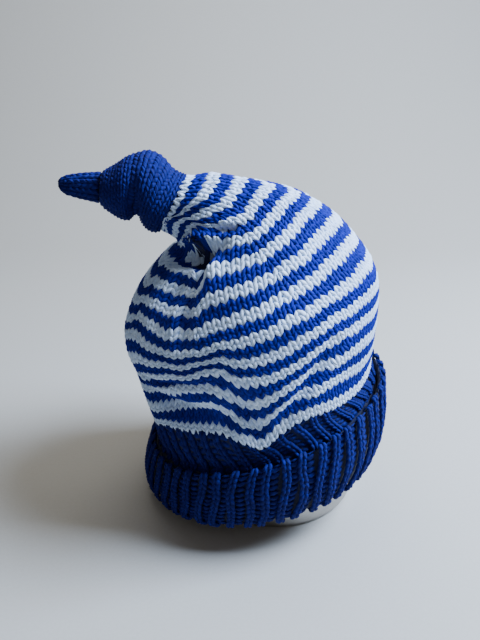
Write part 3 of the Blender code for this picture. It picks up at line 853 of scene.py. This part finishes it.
def solid_core(name, around, along, place):
    """A closed core under the yarn, with flat ends."""

    def outside(share, turn):
        return place(share, turn, np.full(turn.shape, -CLOTH_DEPTH)), share

    return grid_mesh(name, around, along, outside)


def srgb(code):
    """A colour from its sRGB hex, as a shader takes it."""
    parts = [int(code[i : i + 2], 16) / 255 for i in (1, 3, 5)]
    return (*(p / 12.92 if p < 0.04045 else ((p + 0.055) / 1.055) ** 2.4 for p in parts), 1.0)


def add_node(tree, kind, inputs, **values):
    """Adds a node with its settings. An input given as a socket is linked, others are set."""
    node = tree.nodes.new("ShaderNode" + kind)
    for key, value in values.items():
        setattr(node, key, value)
    for key, value in inputs.items():
        if isinstance(value, bpy.types.NodeSocket):
            tree.links.new(value, node.inputs[key])
        else:
            node.inputs[key].default_value = value
    return node


def mixed(tree, share, low, high):
    inputs = {"Factor": share, 6: low, 7: high}
    return add_node(tree, "Mix", inputs, data_type="RGBA").outputs[2]


def sums(tree, operation, *values):
    return add_node(tree, "Math", dict(enumerate(values)), operation=operation).outputs[0]


def new_material(name, **constants):
    """A material with one shader. The constants are the shader's own sockets."""
    material = bpy.data.materials.new(name)
    material.use_nodes = True
    tree = material.node_tree
    shader = tree.nodes["Principled BSDF"]
    for key, value in constants.items():
        shader.inputs[key.replace("_", " ")].default_value = value
    return material, tree, shader


def object_noise(tree, millimetres, detail=2.0, stretch=(1.0, 1.0, 1.0)):
    """Noise whose grains are about this many millimetres."""
    place = add_node(tree, "TexCoord", {}).outputs["Object"]
    place = add_node(tree, "Mapping", {"Vector": place, "Scale": stretch}).outputs[0]
    inputs = {"Vector": place, "Scale": 1000 / millimetres, "Detail": detail}
    return add_node(tree, "TexNoise", inputs).outputs[0]


def yarn_place(tree):
    """The place on the yarn from its own UV map: round it, then along it."""
    uv = add_node(tree, "UVMap", {}, uv_map=YARN_UV).outputs[0]
    return add_node(tree, "SeparateXYZ", {0: uv}).outputs


def surfaced(made, colour, height=None, strength=0.0, depth=0.0):
    """The new material with its colour, and its bump if a height is given."""
    material, tree, shader = made
    tree.links.new(colour, shader.inputs["Base Color"])
    if height is not None:
        inputs = {"Strength": strength, "Distance": depth, "Height": height}
        tree.links.new(add_node(tree, "Bump", inputs).outputs[0], shader.inputs["Normal"])
    return material


# How far wool goes to its deep shade: everywhere, on a ply (less on its top, more in the grooves
# between plies as painted shade), by the length of yarn, by the fuzz
BASE_SHADE, PLY_GROOVE_PAINTED_SHADE, YARN_SHADE, FUZZ_SHADE = 0.25, -0.35, 0.30, 0.45
FUZZ_GRAIN = 0.35  # millimetres
FUZZ_HEIGHT = 0.6  # against the height of a ply


def wool(name, lit, deep, fibre):
    """Soft two-ply wool: the plies twist along the yarn's own UV map, the grooves between them are
    painted darker as painted shade, and a fine fuzz covers it.
    """
    made = new_material(
        name,
        Roughness=0.8,
        Sheen_Weight=0.07,
        Sheen_Roughness=0.5,
        Sheen_Tint=srgb(fibre),
        Specular_IOR_Level=0.2,
    )
    tree = made[1]
    place = yarn_place(tree)
    turn = sums(tree, "MULTIPLY", place[0], 2 / YARN_GIRTH)
    way = sums(tree, "MULTIPLY", place[1], 1 / PLY_PITCH)
    phase = sums(tree, "MULTIPLY", sums(tree, "ADD", turn, way), TURN)
    ply = sums(tree, "MULTIPLY_ADD", sums(tree, "SINE", phase), 0.5, 0.5)
    fuzz = object_noise(tree, FUZZ_GRAIN, detail=3.0)
    tone = add_node(tree, "Attribute", {}, attribute_name=TONE).outputs["Fac"]
    fuzzy = sums(tree, "MULTIPLY", fuzz, FUZZ_SHADE)
    shade = sums(tree, "ADD", sums(tree, "MULTIPLY_ADD", tone, YARN_SHADE, fuzzy), BASE_SHADE)
    # painted shade: the grooves between the plies lean towards the deep colour
    groove = sums(tree, "MULTIPLY_ADD", ply, PLY_GROOVE_PAINTED_SHADE, shade)
    colour = mixed(tree, sums(tree, "MAXIMUM", groove, 0.0), srgb(lit), srgb(deep))
    height = sums(tree, "MULTIPLY_ADD", fuzz, FUZZ_HEIGHT, ply)
    return surfaced(made, colour, height, strength=0.7, depth=0.00025)


def shaded_cloth_behind(name, first, second, rows):
    """The cloth behind the yarn, painted darker than the yarn as painted shade in the gaps between
    stitches. Its rows change colour two by two.
    """
    made = new_material(name, Roughness=0.95, Sheen_Weight=0.1)
    tree = made[1]
    row = sums(tree, "MULTIPLY_ADD", yarn_place(tree)[1], rows[1] - rows[0], rows[0])
    part = sums(tree, "FLOORED_MODULO", sums(tree, "MULTIPLY", row, 1 / STRIPE_ROWS), 1.0)
    second_half, band = sums(tree, "GREATER_THAN", part, 0.5), sums(tree, "LESS_THAN", row, 0.0)
    blue = sums(tree, "MAXIMUM", second_half, band)
    colour = mixed(tree, blue, srgb(first), srgb(second))
    fuzz = object_noise(tree, 0.6)
    colour = mixed(tree, fuzz, colour, srgb(second))
    return surfaced(made, colour, fuzz, strength=0.5, depth=0.0003)


def shared(name, make, *look):
    """A material by name, made on its first use."""
    return bpy.data.materials.get(name) or make(name, *look)


BLUE_ROWS = (-2.0, -1.0)  # below row 0 the cloth is blue
HIDDEN_ROWS = 5.0  # of striped cloth, behind the brim
CLOTH_ROWS = (-RIB_BAND_ROWS - HIDDEN_ROWS, float(CROWN_ROWS))


def blue_wool():
    """Royal blue double knitting wool, matt and slightly fuzzy."""
    return shared("Royal blue wool", wool, "#061A9C", "#020A50", "#2040C8")


def shaded_blue_wool():
    """The same wool in the ribs and the knot, with deeper colours painted in as painted shade."""
    return shared("Royal blue wool, tight", wool, "#051474", "#020738", "#183498")


def white_wool():
    """White double knitting wool, matt and slightly fuzzy."""
    return shared("White wool", wool, "#DFEFFF", "#AEC5EA", "#F0F6FF")


def shaded_blue_cloth():
    """The back of the blue stitches, painted darker than the yarn as painted shade in the gaps."""
    return shared("Back of blue knitting", shaded_cloth_behind, "#010A30", "#010A30", BLUE_ROWS)


def shaded_striped_cloth():
    """The back of the striped stitches, two rows of each colour, painted darker than the yarn as
    painted shade in the gaps.
    """
    return shared("Back of striped knitting", shaded_cloth_behind, "#B4C2DC", "#010C3C", CLOTH_ROWS)


def brushed_steel():
    """Plain brushed steel of a round tin, brushed round it."""
    made = new_material("Brushed steel", Metallic=1.0, Roughness=0.26, Anisotropic=0.5)
    brush = object_noise(made[1], 3.0, detail=4.0, stretch=(1.0, 1.0, 14.0))
    colour = mixed(made[1], brush, srgb("#B9B5B0"), srgb("#A5A19B"))
    return surfaced(made, colour, brush, strength=0.15, depth=0.00002)


def pale_floor():
    """Matt pale floor paper."""
    made = new_material("Pale floor paper", Roughness=0.75)
    grain = object_noise(made[1], 1.5)
    return surfaced(made, mixed(made[1], grain, srgb("#BAB5AC"), srgb("#B2ACA2")))


class NightcapSettings(bpy.types.PropertyGroup):
    """What can be changed before the pieces are made."""

    unevenness: FloatProperty(
        name="Unevenness",
        description="How much the stitches differ from one another",
        default=1.0, min=0.0, max=2.0, subtype="FACTOR",
    )
    window_power: FloatProperty(
        name="Window",
        description="Power of the window light at the right",
        default=15.0, min=0.0, unit="POWER",
    )
    sky_strength: FloatProperty(
        name="Room light",
        description="Strength of the light from all round",
        default=0.15, min=0.0, subtype="FACTOR",
    )
    lens: FloatProperty(
        name="Lens",
        description="Focal length of the camera",
        default=38.25, min=10.0, unit="CAMERA",
    )
    seed: IntProperty(
        name="Seed",
        description="Start of the stitches' unevenness",
        default=7, min=0,
    )


def settings():
    return bpy.context.scene.nightcap


class NIGHTCAP_OT_crown(bpy.types.Operator):
    """Striped bag of the cap: the cloth and the stitches on it"""

    bl_idname = "nightcap.crown"
    bl_label = "Crown"

    def execute(self, context):
        seed = settings().seed
        leg = yarn_template(*LEG_GRID)
        yarn = []
        parts = (("lower", range(LOWER_ROWS)), ("upper", range(LOWER_ROWS, CROWN_ROWS)))
        wools = (("white", white_wool(), True), ("blue", blue_wool(), False))
        for part, rows in parts:
            for colour, material, white in wools:
                name = f"crown_{colour}_{part}"
                batch = crown_yarn(leg, rows, white, seed + len(yarn))
                mesh = joined_mesh(name, [batch], seed)
                yarn.append(new_piece(name, mesh, material))

        def place(share, turn, out):
            row = CLOTH_ROWS[0] + share * (CLOTH_ROWS[1] - CLOTH_ROWS[0])
            return over_cap(row_place(row, turn), turn, out)

        mesh = cloth_shell("crown_cloth", *CROWN_GRID, place)
        cloth = new_piece("crown_cloth", mesh, shaded_striped_cloth(), ["crown"])
        rows = np.arange(*CLOTH_ROWS)
        return {"FINISHED"}


class NIGHTCAP_OT_brim(bpy.types.Operator):
    """Ribbed band at the opening, turned up on the outside"""

    bl_idname = "nightcap.brim"
    bl_label = "Brim"

    def execute(self, context):
        seed = settings().seed
        leg, bar = yarn_template(*LEG_GRID), yarn_template(*BAR_GRID)
        bottom = int((BRIM_STRAIGHT + BRIM_ARC) / RIB_ROW)
        top = int((BRIM_STRAIGHT + BRIM_ARC + BRIM_INSIDE) / RIB_ROW)

        def on_brim(row, bearing, out):
            return over_brim((row - EDGE_ROWS) * RIB_ROW, bearing, out)

        def on_band(row, bearing, out):
            return over_cap(row_place(row, bearing), bearing, out - BAND_DEPTH)

        parts = (
            ("brim_outside", on_brim, range(bottom), 0.0, 0.0),
            ("brim_inside", on_brim, range(bottom, top), 0.0, 0.0),
            ("brim_above", on_band, range(-RIB_BAND_ROWS - 1, 0), BAND_LEAN, BAND_LIFT),
        )
        for name, place, rows, lean, lift in parts:
            batches = rib_yarn(leg, bar, place, rows, seed + len(name), lean, lift)
            mesh = joined_mesh(name, batches, seed)
            new_piece(name, mesh, shaded_blue_wool())

        whole = BRIM_STRAIGHT + BRIM_ARC + BRIM_CLOTH_INSIDE * BRIM_INSIDE

        def ply(share, turn, out):
            return over_brim(share * whole, turn, out)

        mesh = cloth_shell("brim_cloth", *BRIM_GRID, ply, RIB_CLOTH_DEPTH, KNIT_WALL)
        cloth = new_piece("brim_cloth", mesh, shaded_blue_cloth(), ["brim"])
        return {"FINISHED"}


class NIGHTCAP_OT_knot(bpy.types.Operator):
    """Overhand knot at the end of the tube, and the tube's free end"""

    bl_idname = "nightcap.knot"
    bl_label = "Knot and tail"

    def execute(self, context):
        seed = settings().seed
        leg = yarn_template(*LEG_GRID)
        parts = (
            ("knot", knot_yarn, knot_skin, KNOT_GRID),
            ("tail", tail_yarn, tail_skin, TAIL_GRID),
        )
        for node, make, skin, grid in parts:
            mesh = joined_mesh(f"{node}_stitches", [make(leg, seed)], seed)
            new_piece(f"{node}_stitches", mesh, shaded_blue_wool())

            def place(share, turn, out, skin=skin):
                return over(skin, share, turn, out, SHARE_STEP)

            mesh = solid_core(f"{node}_core", *grid, place)
            new_piece(f"{node}_core", mesh, shaded_blue_cloth(), [node])
        return {"FINISHED"}


class NIGHTCAP_OT_tin(bpy.types.Operator):
    """Brushed steel on the tin that holds the cap up"""

    bl_idname = "nightcap.tin"
    bl_label = "Tin"

    def execute(self, context):
        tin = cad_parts["stand"]
        tin.data.materials.clear()
        tin.data.materials.append(brushed_steel())
        return {"FINISHED"}


FLOOR_HALF = 3.0
BACKDROP_Y = 0.75
BACKDROP_BEND = 0.35
BACKDROP_HEIGHT = 2.5
CAP_MIDDLE = (0.0, 0.0, 0.09)
BACKDROP_LOW = (0.0, BACKDROP_Y, 0.25)

Lamp = namedtuple("Lamp", "name place aim size share colour")  # share of the window's power
LAMPS = table(
    Lamp,
    ("window", (0.5, 0.0, 0.64), CAP_MIDDLE, 0.36, 1.76, "#C8DEFF"),
    ("bounce", (-0.1, -0.7, 0.6), CAP_MIDDLE, 0.8, 0.03, "#F4F2F4"),
    ("backdrop", (0.0, 0.3, 1.0), BACKDROP_LOW, 0.6, 0.34, "#FBFBF4"),
)
CAMERA_PLACE = (-0.017, -0.322, 0.241)
CAMERA_DOWN = 24  # degrees below level


class NIGHTCAP_OT_stage(bpy.types.Operator):
    """Pale floor that bends up into a backdrop, soft lights and camera"""

    bl_idname = "nightcap.stage"
    bl_label = "Stage"

    def execute(self, context):
        scene = context.scene
        bm = bmesh.new()
        bmesh.ops.create_grid(bm, x_segments=1, y_segments=1, size=FLOOR_HALF)
        for corner in bm.verts:
            corner.co.y = -FLOOR_HALF if corner.co.y < 0 else BACKDROP_Y
        back = [edge for edge in bm.edges if all(v.co.y > 0 for v in edge.verts)]
        wall = bmesh.ops.extrude_edge_only(bm, edges=back)["geom"]
        top = [part for part in wall if isinstance(part, bmesh.types.BMVert)]
        bmesh.ops.translate(bm, verts=top, vec=(0.0, 0.0, BACKDROP_HEIGHT))
        bmesh.ops.bevel(
            bm, geom=back, offset=BACKDROP_BEND, segments=24, profile=0.5, affect="EDGES"
        )
        mesh = finished_mesh(bm, "floor")
        mesh.materials.append(pale_floor())
        floor = linked("floor", mesh)

        for row in LAMPS:
            lamp = bpy.data.lights.new(row.name, "AREA")
            lamp.size = row.size
            lamp.energy = settings().window_power * row.share
            lamp.color = srgb(row.colour)[:3]
            holder = linked(row.name, lamp)
            holder.location = row.place
            way = Vector(row.aim) - holder.location
            holder.rotation_euler = way.to_track_quat("-Z", "Y").to_euler()

        world = bpy.data.worlds.new("Room")
        world.use_nodes = True
        sky = world.node_tree.nodes["Background"]
        sky.inputs["Color"].default_value = srgb("#E4E6EC")
        sky.inputs["Strength"].default_value = settings().sky_strength
        scene.world = world

        camera = bpy.data.cameras.new("camera")
        camera.lens = settings().lens
        camera.clip_start = 0.01
        holder = linked("camera", camera)
        holder.location = CAMERA_PLACE
        holder.rotation_euler = (math.radians(90 - CAMERA_DOWN), 0.0, 0.0)
        scene.camera = holder
        return {"FINISHED"}


OPERATORS = (
    NIGHTCAP_OT_crown,
    NIGHTCAP_OT_brim,
    NIGHTCAP_OT_knot,
    NIGHTCAP_OT_tin,
    NIGHTCAP_OT_stage,
)


class NIGHTCAP_PT_panel(bpy.types.Panel):
    bl_idname = "NIGHTCAP_PT_panel"
    bl_label = "Nightcap"
    bl_space_type = "VIEW_3D"
    bl_region_type = "UI"
    bl_category = "Nightcap"

    def draw(self, context):
        for name in NightcapSettings.__annotations__:
            self.layout.prop(context.scene.nightcap, name)
        for operator in OPERATORS:
            self.layout.operator(operator.bl_idname)


CLASSES = (NightcapSettings, *OPERATORS, NIGHTCAP_PT_panel)


def register():
    for cls in CLASSES:
        bpy.utils.register_class(cls)
    bpy.types.Scene.nightcap = PointerProperty(type=NightcapSettings)


def unregister():
    del bpy.types.Scene.nightcap
    for cls in reversed(CLASSES):
        bpy.utils.unregister_class(cls)


def main():
    register()
    bpy.ops.nightcap.knot()
    bpy.ops.nightcap.crown()
    bpy.ops.nightcap.brim()
    bpy.ops.nightcap.tin()
    bpy.ops.nightcap.stage()


if __name__ == "__main__":
    main()
